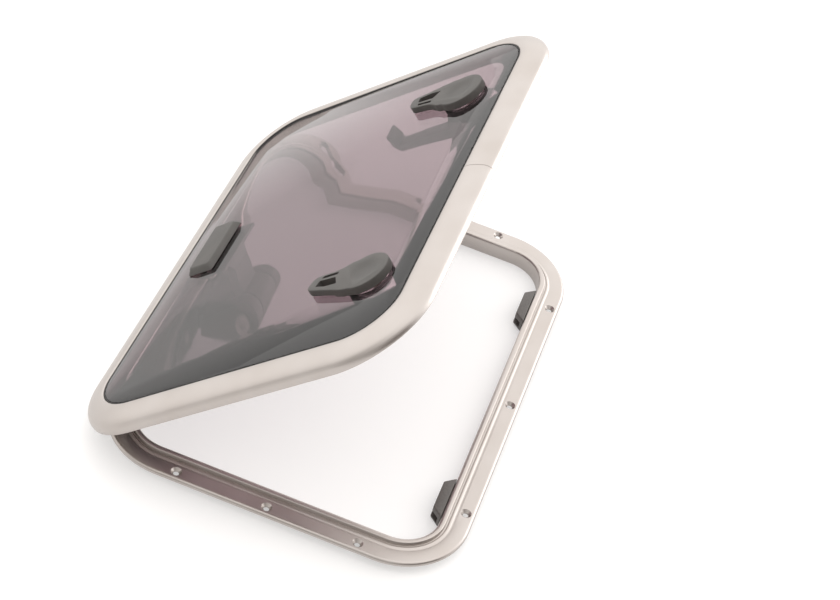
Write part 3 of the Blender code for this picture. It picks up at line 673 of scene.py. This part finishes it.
# %% The butt joint
JOINT_Y = -0.0018
JOINT_WIDTH = 0.00055
JOINT_DEPTH = 0.0003
for y in (JOINT_Y, JOINT_Y + JOINT_WIDTH):
    edit(lid_frame)
    bpy.ops.mesh.bisect(plane_co=(0.0, y, 0.0), plane_no=(0.0, 1.0, 0.0))
    done()
edit(lid_frame, faces=lambda middle, normal: (
    middle.x > glass_x + 0.003 and JOINT_Y < middle.y < JOINT_Y + JOINT_WIDTH
    and middle.z > -0.0120 and (normal.z > 0.02 or normal.x > 0.5)))
bpy.ops.mesh.extrude_region_shrink_fatten(TRANSFORM_OT_shrink_fatten={"value": -JOINT_DEPTH})
done()
put(lid_frame, lid_place)
hand_over(lid_frame, "lid_extrusion", satin_anodised, "anodised_alloy", "lid", "lid_frame")

# %% [markdown]
# ## Seals
# A bead of black rubber fills the slot between pane and frame, a hair below both. Under the ledge sits the
# weather gasket, a soft D-shaped bulb that presses on the base frame's upstand when the lid is shut.

# %% Glazing seal and gasket
seal_section = [(0.0003, -GLASS_THICK), (0.0003, -0.0004), *arc((0.0010, -0.0006), 0.0007, 160.0, 20.0, 4),
                (0.0017, -0.0004), (0.0017, -GLASS_THICK)]
seal = put(ring([lid_loop(out, height) for out, height in seal_section]), lid_place)
hand_over(seal, "glazing_seal_bead", sealing_rubber, "black_rubber", "lid", "glazing_seal", smooth=60.0)

GASKET_TOP = LEDGE_LOW - GAP
bulb = [(out, GASKET_TOP - 0.0010 + height) for out, height in arc((0.0036, 0.0), 0.0022, 180.0, 360.0, 12)]
gasket_section = [(0.0010, GASKET_TOP), (0.0010, GASKET_TOP - 0.0008), *bulb, (0.0062, GASKET_TOP - 0.0008),
                  (0.0062, GASKET_TOP)]
gasket = put(ring([base_loop(out, height) for out, height in gasket_section]), lid_place)
hand_over(gasket, "weather_gasket", sealing_rubber, "black_rubber", "lid", "lid_gasket", smooth=60.0)

# %% [markdown]
# ## Pane
# A rounded plane, filled and extruded down by its thickness, with its rims eased so that they catch a thin
# line of light. The latches and the hinge bolts go through drilled holes.

# %% Pane
BUSH_RADIUS = 0.0190
CAP_X = -0.1230
BOLT_X = -0.1180
BOLT_Y = 0.0300
BOLT_HOLE = 0.0031
latch_x = (Vector(joints["latch_near_turn"]["pos_m"]) - lid_centre).dot(lid_turn @ Vector((1.0, 0.0, 0.0)))

pane = rounded_loop(glass_x, glass_y, GLASS_RADIUS, 0.0, filled=True)
edit(pane)
bpy.ops.mesh.extrude_region_move(TRANSFORM_OT_translate={"value": (0.0, 0.0, -GLASS_THICK)})
done()
round_edges(face_out(pane), 0.0004, 2, sharper_than=60.0)
for radius, x, y in ((BUSH_RADIUS + GAP, latch_x, latch_y), (BOLT_HOLE, BOLT_X, BOLT_Y)):
    for side in (-1, 1):
        combine(pane, put(turned(radius, -0.020, 0.010, 64), Matrix.Translation((x, side * y, 0.0))))
put(pane, lid_place)
hand_over(pane, "acrylic_pane", smoked_acrylic, "tinted_acrylic", "lid", "glazing_panel")

# %% [markdown]
# ## Hinge cap
# A low moulded cap hides the two hinge bolts. It starts as a cube. Its top is drawn in, so that all four
# sides slope, then its corners and its upper rim are rounded.

# %% Hinge cap
CAP_HALF_X = 0.0150
CAP_HALF_Y = 0.0385
CAP_TOP_HALF_X = 0.0118
CAP_TOP_HALF_Y = 0.0335
CAP_HEIGHT = 0.0062

cap = block((-CAP_HALF_X, -CAP_HALF_Y, GAP), (CAP_HALF_X, CAP_HALF_Y, CAP_HEIGHT))
edit(cap, faces=lambda middle, normal: normal.z > 0.9)
bpy.ops.transform.resize(value=(CAP_TOP_HALF_X / CAP_HALF_X, CAP_TOP_HALF_Y / CAP_HALF_Y, 1.0))
done()
round_edges(cap, 0.0032, 6, where=lambda a, b: abs(a.z - b.z) > 0.004)
round_edges(cap, 0.0010, 3, sharper_than=25.0)
for side in (-1, 1):
    bore = turned(BOLT_HOLE, -0.0010, 0.0032, 32)
    combine(cap, put(bore, Matrix.Translation((BOLT_X - CAP_X, side * BOLT_Y, 0.0))))
put(cap, lid_place @ Matrix.Translation((CAP_X, 0.0, 0.0)))
hand_over(cap, "hinge_cap_moulding", moulded_grey, "grey_plastic", "lid", "hinge_cap")

# %% [markdown]
# ## Latches: bush and escutcheon
# Each latch turns in a black bush set in the pane, with a round escutcheon below it.

# %% Bushes and escutcheons
SPINDLE_RADIUS = 0.0080
SPINDLE_BORE = SPINDLE_RADIUS + GAP
ESCUTCHEON_RADIUS = 0.0220
ESCUTCHEON_LOW = -GLASS_THICK - 0.0060
for word in ("near", "far"):
    bush = turned(BUSH_RADIUS, -GLASS_THICK, -0.0002)
    combine(bush, turned(SPINDLE_BORE, -0.030, 0.010, 48))
    put(bush, latch_places[word])
    hand_over(bush, f"pane_bush_{word}", moulded_black, "black_rubber", "lid", f"latch_bush_{word}")
    escutcheon = turned(ESCUTCHEON_RADIUS, ESCUTCHEON_LOW, -GLASS_THICK - GAP)
    round_edges(escutcheon, 0.0014, 4, where=lambda a, b: max(a.z, b.z) < ESCUTCHEON_LOW + 0.0005)
    combine(escutcheon, turned(SPINDLE_BORE, -0.030, 0.010, 48))
    put(escutcheon, latch_places[word])
    hand_over(escutcheon, f"escutcheon_{word}", moulded_black, "black_plastic", "lid",
              f"latch_escutcheon_{word}")

# %% [markdown]
# ## Latches: outside lever
# The lever is a disc that runs out into a tongue. Its outline is drawn, the upper rim is rounded, and
# two windows leave a thin rib down the middle of the tongue. A shallow dish marks the disc's face. The far
# lever is a mirror image of the near one.

# %% Outside levers
DISC_RADIUS = 0.0230
LEVER_TOP = 0.0077
LEVER_LOW = GAP
TONGUE_THICK = 0.0062
TONGUE_START = -0.0275         # where the disc gives way to the tongue
DISH_RADIUS = 0.0105
DISH_OUTER = 0.0165
DISH_DEPTH = 0.0010
SOCKET_TOP = 0.0057            # how far up the spindle reaches into the lever


def mirrored(points, side):
    """The outline for the near latch, or its mirror image for the far one."""
    return points if side < 0 else [(x, -y) for x, y in reversed(points)]


for word, side in (("near", -1), ("far", 1)):
    tongue = smooth_run([
        (-0.0190, 0.0188), (-0.0260, 0.0150), (-0.0350, 0.0129), (-0.0460, 0.0126), (-0.0525, 0.0118),
        (-0.0565, 0.0080), (-0.0588, 0.0010), (-0.0575, -0.0045), (-0.0500, -0.0078), (-0.0418, -0.0106),
        (-0.0300, -0.0150), (-0.0180, -0.0196),
    ], 3)
    lever = outline_plate(mirrored(arc((0.0, 0.0), DISC_RADIUS, -113.0, 122.0, 60) + tongue, side),
                          LEVER_LOW, LEVER_TOP)
    round_edges(lever, 0.0009, 4, where=lambda a, b: min(a.z, b.z) > LEVER_TOP - 0.0003)
    combine(lever, block((-0.0620, -0.0300, -0.0010), (TONGUE_START, 0.0300, LEVER_TOP - TONGUE_THICK)))
    for outline in (
        [(-0.0500, -0.0030), (-0.0485, 0.0045), (-0.0310, 0.0032), (-0.0265, -0.0072), (-0.0385, -0.0068)],
        [(-0.0470, 0.0068), (-0.0460, 0.0102), (-0.0300, 0.0102), (-0.0305, 0.0068)],
    ):
        combine(lever, outline_plate(mirrored(outline, side), -0.0020, 0.0140, corner=0.0008))
    combine(lever, turned(DISH_RADIUS, LEVER_TOP - DISH_DEPTH, LEVER_TOP + DISH_DEPTH, 96,
                          top_radius=DISH_OUTER))
    combine(lever, turned(SPINDLE_BORE, -0.010, SOCKET_TOP, 48))
    put(lever, latch_places[word])
    hand_over(lever, f"outside_lever_{word}", moulded_grey, "grey_plastic", f"latch_{word}",
              f"outer_lever_{word}")

# %% [markdown]
# ## Latches: inside lever
# From inside, the latch is worked by a long handle with a upturned finger hook. Its side view is drawn as an
# outline plate, which is then stood on edge and united with a round boss.

# %% Inside levers
HANDLE_HALF = 0.0085
BOSS_RADIUS = 0.0165
BOSS_LOW = -0.0245
BOSS_TOP = -0.0166

for word in ("near", "far"):
    handle = outline_plate([
        (-0.0080, -0.0170), (-0.0080, -0.0243), (-0.0135, -0.0243), (-0.0180, -0.0400), (-0.0240, -0.0425),
        (-0.0940, -0.0425), (-0.1040, -0.0300), (-0.1035, -0.0265), (-0.1000, -0.0262), (-0.0950, -0.0360),
        (-0.0300, -0.0320), (-0.0230, -0.0180),
    ], -HANDLE_HALF, HANDLE_HALF)
    put(handle, Matrix.Rotation(math.pi / 2, 4, "X"))
    round_edges(handle, 0.0009, 3, sharper_than=25.0)
    boss = turned(BOSS_RADIUS, BOSS_LOW, BOSS_TOP)
    round_edges(boss, 0.0014, 4, where=lambda a, b: max(a.z, b.z) < BOSS_LOW + 0.0005)
    combine(boss, handle, "UNION")
    combine(boss, turned(SPINDLE_BORE, -0.050, 0.0, 48))
    put(boss, latch_places[word])
    hand_over(boss, f"inside_lever_{word}", moulded_grey, "grey_plastic", f"latch_{word}",
              f"inner_lever_{word}")

# %% [markdown]
# ## Castings and hardware
# The hinge castings, pins, bolts and blades already have the right shape in the working model, but with knife
# sharp edges, and a real edge is never sharp: its tiny round catches the light. A copy of each solid has its
# triangles merged back into whole faces and its sharp edges bevelled.

# %% Eased copies of the working solids
def eased_copy(node, width):
    """A copy of a working solid, with whole faces and rounded edges."""
    piece = bpy.data.objects.new("eased_" + node, nodes[node].data.copy())
    bpy.context.scene.collection.objects.link(piece)
    edit(piece)
    bpy.ops.mesh.remove_doubles(threshold=0.00001)
    bpy.ops.mesh.dissolve_limited(angle_limit=math.radians(1.0))
    done()
    round_edges(face_out(piece), width, 2, sharper_than=35.0)
    return piece


finishes = {"grey_enamel": cast_enamel, "stainless": tumbled_stainless, "white_acetal": bearing_acetal}
eased = {
    "hinge_base_bracket": ("base", "grey_enamel", 0.0004),
    "hinge_arm": ("arm", "grey_enamel", 0.0005),
    "hinge_lid_bracket": ("lid", "grey_enamel", 0.0004),
    "friction_bolt": ("arm", "stainless", 0.0003),
    "friction_nut": ("arm", "stainless", 0.0003),
    "friction_washer_near": ("arm", "white_acetal", 0.0001),
    "friction_washer_far": ("arm", "white_acetal", 0.0001),
    "hinge_base_pin": ("base", "stainless", 0.0002),
    "hinge_lid_bolt_1": ("lid", "stainless", 0.0003),
    "hinge_lid_bolt_2": ("lid", "stainless", 0.0003),
    "latch_blade_near": ("latch_near", "stainless", 0.0003),
    "latch_blade_far": ("latch_far", "stainless", 0.0003),
    "latch_screw_near": ("latch_near", "stainless", 0.0003),
    "latch_screw_far": ("latch_far", "stainless", 0.0003),
    "latch_spindle_near": ("latch_near", "stainless", 0.0003),
    "latch_spindle_far": ("latch_far", "stainless", 0.0003),
}
for word in ("keeper_near", "keeper_far", "hinge_base"):
    for number in (1, 2):
        eased[f"{word}_screw_{number}"] = ("base", "stainless", 0.0002)
for node, (body, slot, width) in eased.items():
    hand_over(eased_copy(node, width), f"eased_{node}", finishes[slot], slot, body, node)

# %% [markdown]
# ## Studio
# The hatch stands on a white light table: its top glows a little, so shadows stay faint. The sky round it is
# white too, brightest high at the back and greyer behind the camera, with a dim patch low at the right. A
# metal frame shows only what it mirrors, and without something dark to mirror it would vanish into the white.

# %% Floor
bpy.ops.object.select_all(action="DESELECT")
bpy.ops.mesh.primitive_plane_add(size=24.0, location=(0.0, 0.0, -0.0005))
floor = bpy.context.active_object
floor.name = "light_table"
white_table, *_ = new_finish("white_light_table", {
    "Base Color": linear("#C4C3C2"), "Roughness": 0.9, "Specular IOR Level": 0.0,
    "Emission Color": (1.0, 1.0, 1.0, 1.0), "Emission Strength": 0.46,
})
floor.data.materials.append(white_table)

# %% Sky
SKY_STRENGTH = 1.70
BRIGHT_DIRECTION = Vector((-0.15, 0.80, 0.58)).normalized()
DIM_DIRECTION = Vector((0.86, -0.47, 0.20)).normalized()
sky = bpy.context.scene.world or bpy.data.worlds.new("studio_sky")
bpy.context.scene.world = sky
sky.use_nodes = True
tree = sky.node_tree
backdrop = tree.nodes["Background"]
direction = add_node(tree, "ShaderNodeTexCoord")


def sky_patch(below, centre, edge, middle, colour):
    """Lays a round patch of another brightness over the sky, soft from its edge to its middle."""
    facing = add_node(tree, "ShaderNodeVectorMath", {1: centre}, {0: (direction, "Generated")},
                      operation="DOT_PRODUCT")
    share = add_node(tree, "ShaderNodeMapRange", {"From Min": edge, "From Max": middle},
                     {"Value": (facing, "Value")}, interpolation_type="SMOOTHSTEP")
    patch = add_node(tree, "ShaderNodeMix", {7: linear(colour)}, {0: (share, "Result")}, data_type="RGBA")
    if below is None:
        patch.inputs[6].default_value = linear("#A3A09D")
    else:
        tree.links.new(below.outputs[2], patch.inputs[6])
    return patch


front_to_back = sky_patch(None, BRIGHT_DIRECTION, -0.45, 0.45, "#FFFDFB")
with_dim_patch = sky_patch(front_to_back, DIM_DIRECTION, 0.80, 0.97, "#4A3C35")
tree.links.new(with_dim_patch.outputs[2], backdrop.inputs["Color"])
backdrop.inputs["Strength"].default_value = SKY_STRENGTH

# %% Lamp
LAMP_PLACE = Vector((1.20, 1.30, 0.60))
bpy.ops.object.light_add(type="AREA", location=LAMP_PLACE)
lamp = bpy.context.active_object
lamp.name = "softbox_back_right"
lamp.data.shape = "RECTANGLE"
lamp.data.size, lamp.data.size_y = 1.4, 1.0
lamp.data.energy = 9.0
lamp.rotation_euler = (lid_centre - LAMP_PLACE).to_track_quat("-Z", "Y").to_euler()
lamp.visible_camera = False
bpy.context.scene.view_settings.view_transform = "Standard"
